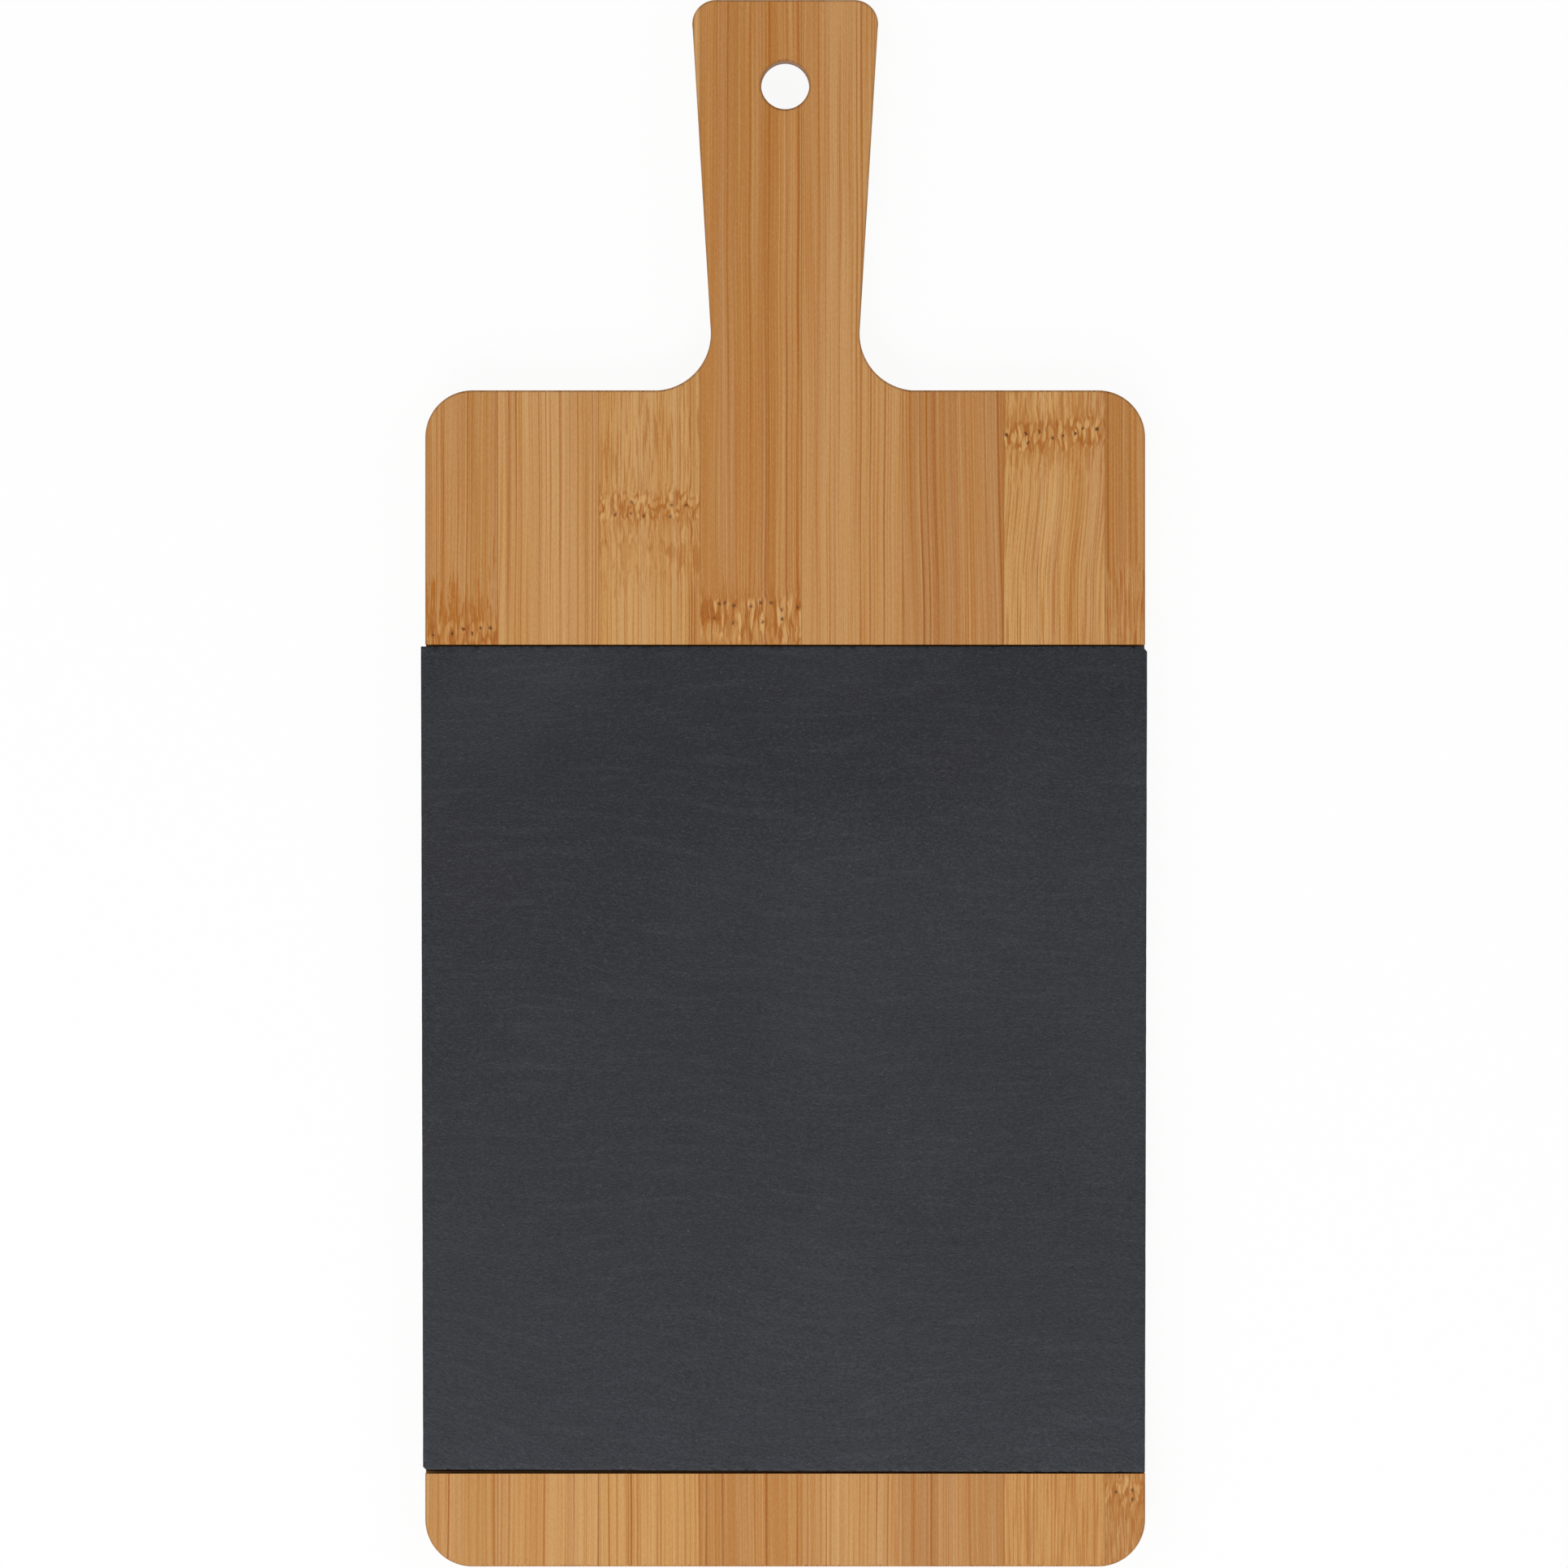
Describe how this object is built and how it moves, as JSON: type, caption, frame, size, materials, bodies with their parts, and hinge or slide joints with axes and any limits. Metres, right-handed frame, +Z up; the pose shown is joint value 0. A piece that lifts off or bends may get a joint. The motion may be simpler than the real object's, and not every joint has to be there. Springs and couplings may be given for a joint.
{
  "type": "slate serving board",
  "caption": "Bamboo paddle board of crossed plies with a handle and hanging hole, and a slate slab let in flush across its full width, for serving cheese or snacks.",
  "frame": {"origin": "middle of the underside, halfway along the board's length and on the handle's centre line", "axes": "+Z up out of the serving face, +Y along the board towards the handle's end, +X to the right seen from above"},
  "size_m": [0.1809, 0.39, 0.012],
  "materials": {
    "bamboo_face": "satin",
    "bamboo_core": "satin",
    "bamboo_back": "satin",
    "slate": "matte",
    "adhesive": "matte"
  },
  "bodies": {
    "root": {"head_strip_1": "bamboo_face", "head_strip_2": "bamboo_face", "head_strip_3": "bamboo_face", "head_strip_4": "bamboo_face", "head_strip_5": "bamboo_face", "head_strip_6": "bamboo_face", "head_strip_7": "bamboo_face", "head_strip_8": "bamboo_face", "handle_edge_strip_3": "bamboo_face", "foot_strip_1": "bamboo_face", "foot_strip_2": "bamboo_face", "foot_strip_3": "bamboo_face", "foot_strip_4": "bamboo_face", "foot_strip_5": "bamboo_face", "foot_strip_6": "bamboo_face", "foot_strip_7": "bamboo_face", "foot_strip_8": "bamboo_face", "core_strip_1": "bamboo_core", "core_strip_2": "bamboo_core", "core_strip_3": "bamboo_core", "core_strip_4": "bamboo_core", "core_strip_5": "bamboo_core", "core_strip_6": "bamboo_core", "core_strip_7": "bamboo_core", "core_strip_8": "bamboo_core", "core_strip_9": "bamboo_core", "core_strip_10": "bamboo_core", "core_strip_11": "bamboo_core", "core_strip_12": "bamboo_core", "core_strip_13": "bamboo_core", "core_strip_14": "bamboo_core", "core_strip_15": "bamboo_core", "core_strip_16": "bamboo_core", "back_strip_1": "bamboo_back", "back_strip_2": "bamboo_back", "back_strip_3": "bamboo_back", "back_strip_4": "bamboo_back", "back_strip_5": "bamboo_back", "back_strip_6": "bamboo_back", "back_strip_7": "bamboo_back", "slate_slab": "slate", "slate_adhesive": "adhesive"}
  },
  "joints": []
}
